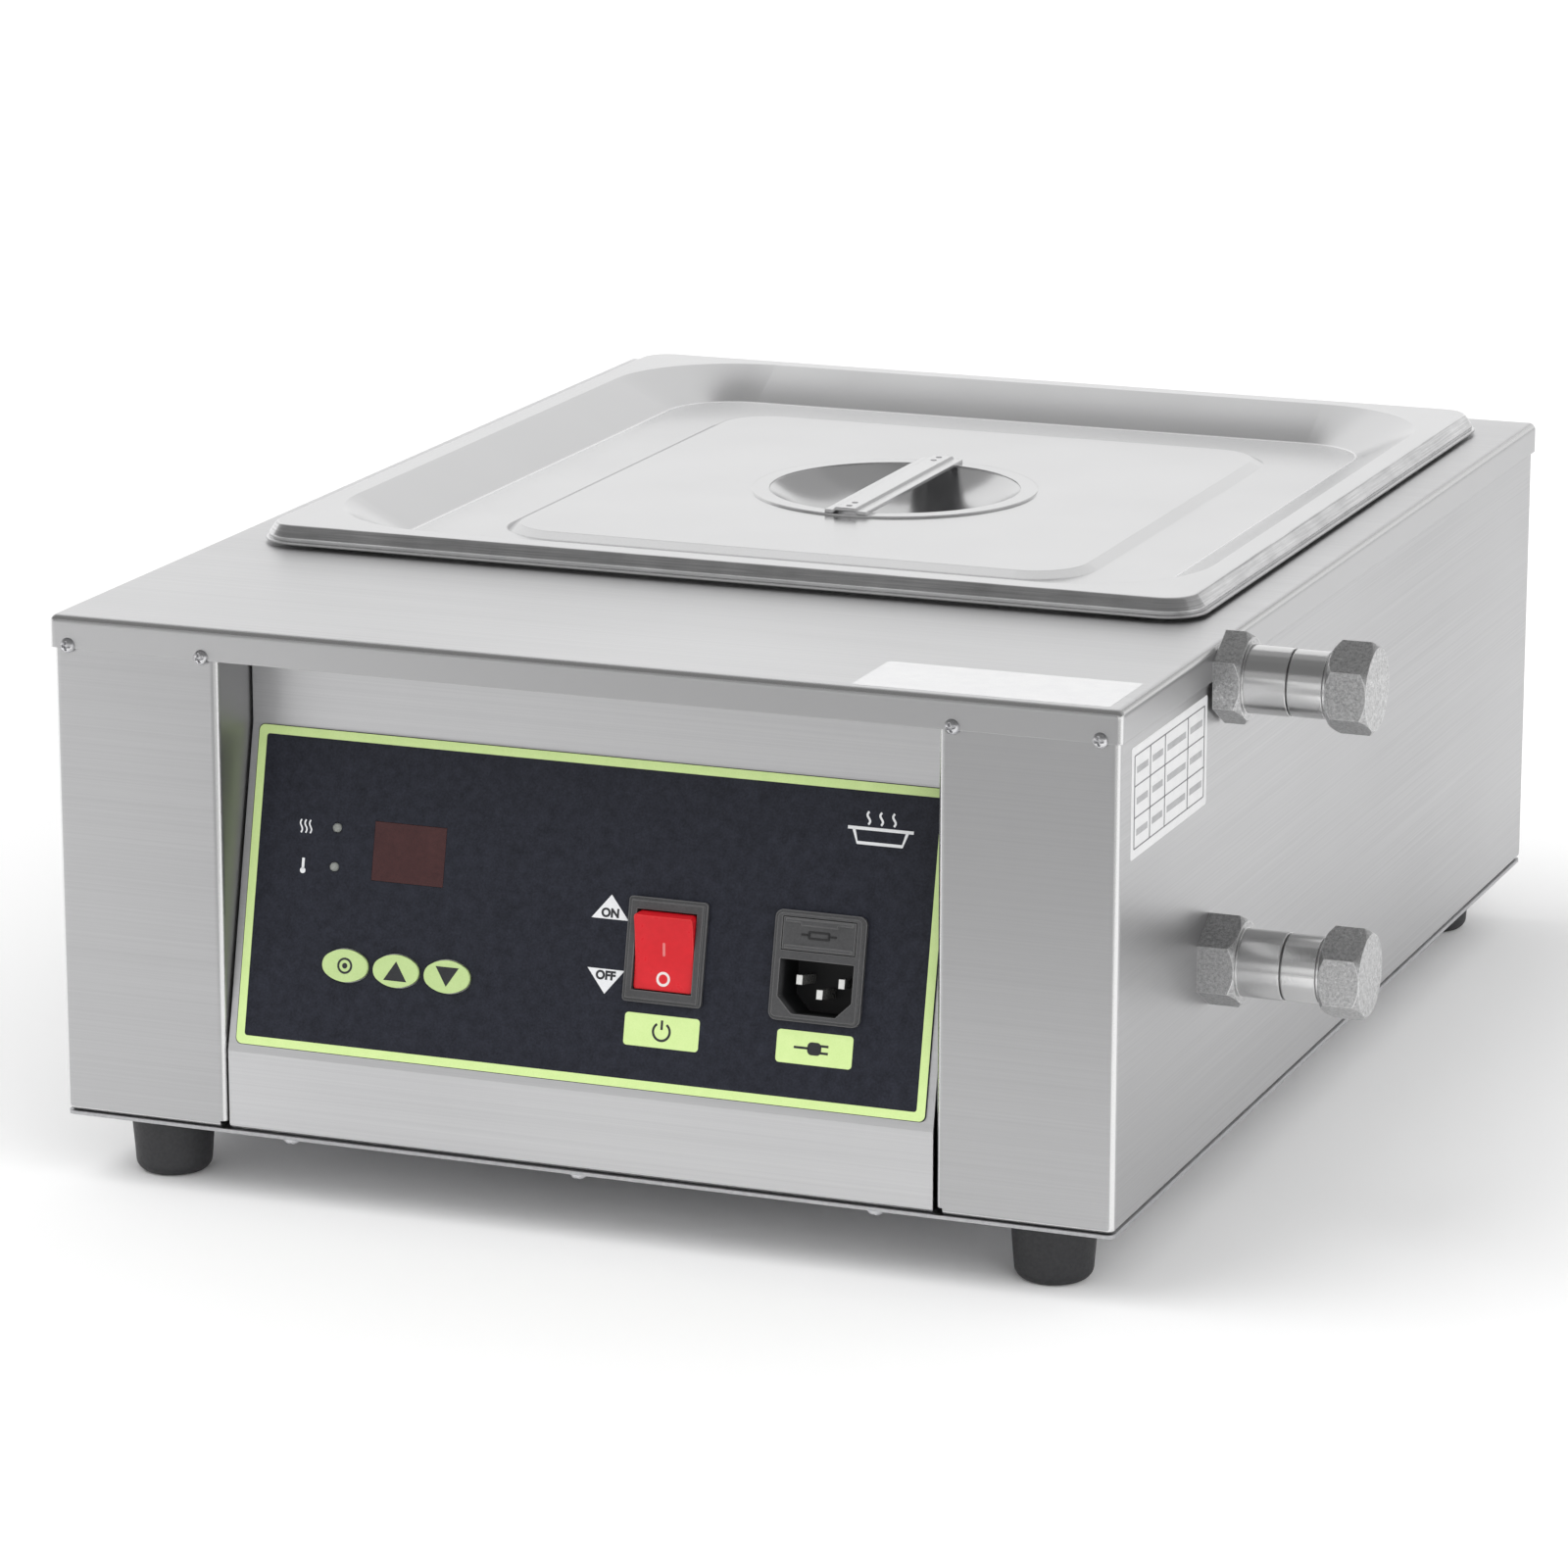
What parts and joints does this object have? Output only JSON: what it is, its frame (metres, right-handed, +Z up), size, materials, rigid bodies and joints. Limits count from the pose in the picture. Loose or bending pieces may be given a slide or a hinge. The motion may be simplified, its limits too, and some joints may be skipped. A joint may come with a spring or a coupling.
{
  "type": "chocolate melting tank",
  "caption": "Bench-top chocolate melting tank: steel casing with sloping control panel, water-bath pan with recessed lid, capped drain and filling pipes at the side, rubber feet.",
  "frame": {"origin": "centre of the casing's footprint, on the bench plane under the feet", "axes": "+X to the right of the user, towards the pipes; -Y to the front with the control panel; +Z up"},
  "size_m": [0.4116, 0.486, 0.1954],
  "materials": {
    "satin_steel": "satin, fine grain",
    "plain_steel": "plain mill finish",
    "pressed_steel": "bright pressed finish",
    "fitting_steel": "turned",
    "screw_steel": "plated",
    "foot_rubber": "matte",
    "seal_rubber": "matte silicone",
    "washer_rubber": "matte",
    "overlay_print": "fine matte film",
    "display_red": "smooth window",
    "lamp_clear": "clear lens",
    "key_green": "smooth",
    "black_plastic": "moulded",
    "rocker_red": "moulded, glossy",
    "contact_brass": "bare",
    "pin_plating": "nickel plated",
    "fuse_glass": "clear tube",
    "board_green": "lacquered laminate",
    "relay_blue": "moulded",
    "core_iron": "varnished laminations and winding",
    "terminal_green": "moulded",
    "heater_steel": "heat tinted",
    "ceramic_white": "moulded insulator"
  },
  "bodies": {
    "cabinet": {"casing_wrap": "satin_steel", "top_plate": "satin_steel", "control_panel": "satin_steel", "base_plate": "plain_steel", "water_tank": "plain_steel", "drain_pipe": "plain_steel", "overflow_pipe": "plain_steel", "temperature_probe": "plain_steel", "drain_union": "fitting_steel", "overflow_union": "fitting_steel", "foot_bolts": "screw_steel", "foot_nuts": "screw_steel", "lip_screws": "screw_steel", "base_screws": "screw_steel", "board_screws": "screw_steel", "rubber_feet": "foot_rubber", "gland_seals": "seal_rubber", "panel_overlay": "overlay_print", "display_window": "display_red", "indicator_lamps": "lamp_clear", "switch_housing": "black_plastic", "inlet_housing": "black_plastic", "display_module": "black_plastic", "key_switches": "black_plastic", "switch_terminals": "contact_brass", "inlet_pins": "pin_plating", "board_standoffs": "contact_brass", "control_board": "board_green", "relay": "relay_blue", "transformer": "core_iron", "terminal_block": "terminal_green", "heating_element": "heater_steel", "wall_glands": "contact_brass", "gland_nuts": "contact_brass", "thermal_cutout": "ceramic_white", "earth_stud": "contact_brass", "earth_nut": "contact_brass"},
    "pan": {"pan": "pressed_steel"},
    "lid": {"lid_shell": "pressed_steel", "lid_handle": "pressed_steel"},
    "rocker": {"rocker": "rocker_red"},
    "set_key": {"set_key": "key_green"},
    "up_key": {"up_key": "key_green"},
    "down_key": {"down_key": "key_green"},
    "fuse_drawer": {"fuse_drawer": "black_plastic", "fuse": "fuse_glass"},
    "drain_seal": {"drain_washer": "washer_rubber"},
    "drain_screw_cap": {"drain_cap": "fitting_steel"},
    "overflow_seal": {"overflow_washer": "washer_rubber"},
    "overflow_screw_cap": {"overflow_cap": "fitting_steel"}
  },
  "joints": [
    {"name": "pan_lift", "type": "slide", "parent": "cabinet", "child": "pan", "axis": [0, 0, 1], "range_m": [0, 0.12]},
    {"name": "lid_lift", "type": "slide", "parent": "pan", "child": "lid", "axis": [0, 0, 1], "range_m": [0, 0.1]},
    {"name": "power_rocker", "type": "hinge", "parent": "cabinet", "child": "rocker", "pos_m": [0.02799, -0.22979, 0.09523], "axis": [-1, 0, 0], "range_deg": [0, 22]},
    {"name": "set_key_press", "type": "slide", "parent": "cabinet", "child": "set_key", "axis": [0, 0.9758, -0.2185], "range_m": [0, 0.0006], "stiffness_N_per_m": 800},
    {"name": "up_key_press", "type": "slide", "parent": "cabinet", "child": "up_key", "axis": [0, 0.9758, -0.2185], "range_m": [0, 0.0006], "stiffness_N_per_m": 800},
    {"name": "down_key_press", "type": "slide", "parent": "cabinet", "child": "down_key", "axis": [0, 0.9758, -0.2185], "range_m": [0, 0.0006], "stiffness_N_per_m": 800},
    {"name": "fuse_drawer_slide", "type": "slide", "parent": "cabinet", "child": "fuse_drawer", "axis": [0, -0.9758, 0.2185], "range_m": [0, 0.02]},
    {"name": "drain_back_out", "type": "slide", "parent": "cabinet", "child": "drain_seal", "axis": [1, 0, 0], "range_m": [0, 0.0061]},
    {"name": "drain_unscrew", "type": "hinge", "parent": "drain_seal", "child": "drain_screw_cap", "pos_m": [0.2169, -0.147, 0.0867], "axis": [1, 0, 0], "range_deg": [0, 1440]},
    {"name": "overflow_back_out", "type": "slide", "parent": "cabinet", "child": "overflow_seal", "axis": [1, 0, 0], "range_m": [0, 0.0061]},
    {"name": "overflow_unscrew", "type": "hinge", "parent": "overflow_seal", "child": "overflow_screw_cap", "pos_m": [0.2147, -0.139, 0.1765], "axis": [1, 0, 0], "range_deg": [0, 1440]}
  ],
  "couplings": [
    {"joint": "drain_back_out", "follows": "drain_unscrew", "m_per_rad": 0.00023873},
    {"joint": "overflow_back_out", "follows": "overflow_unscrew", "m_per_rad": 0.00023873}
  ]
}
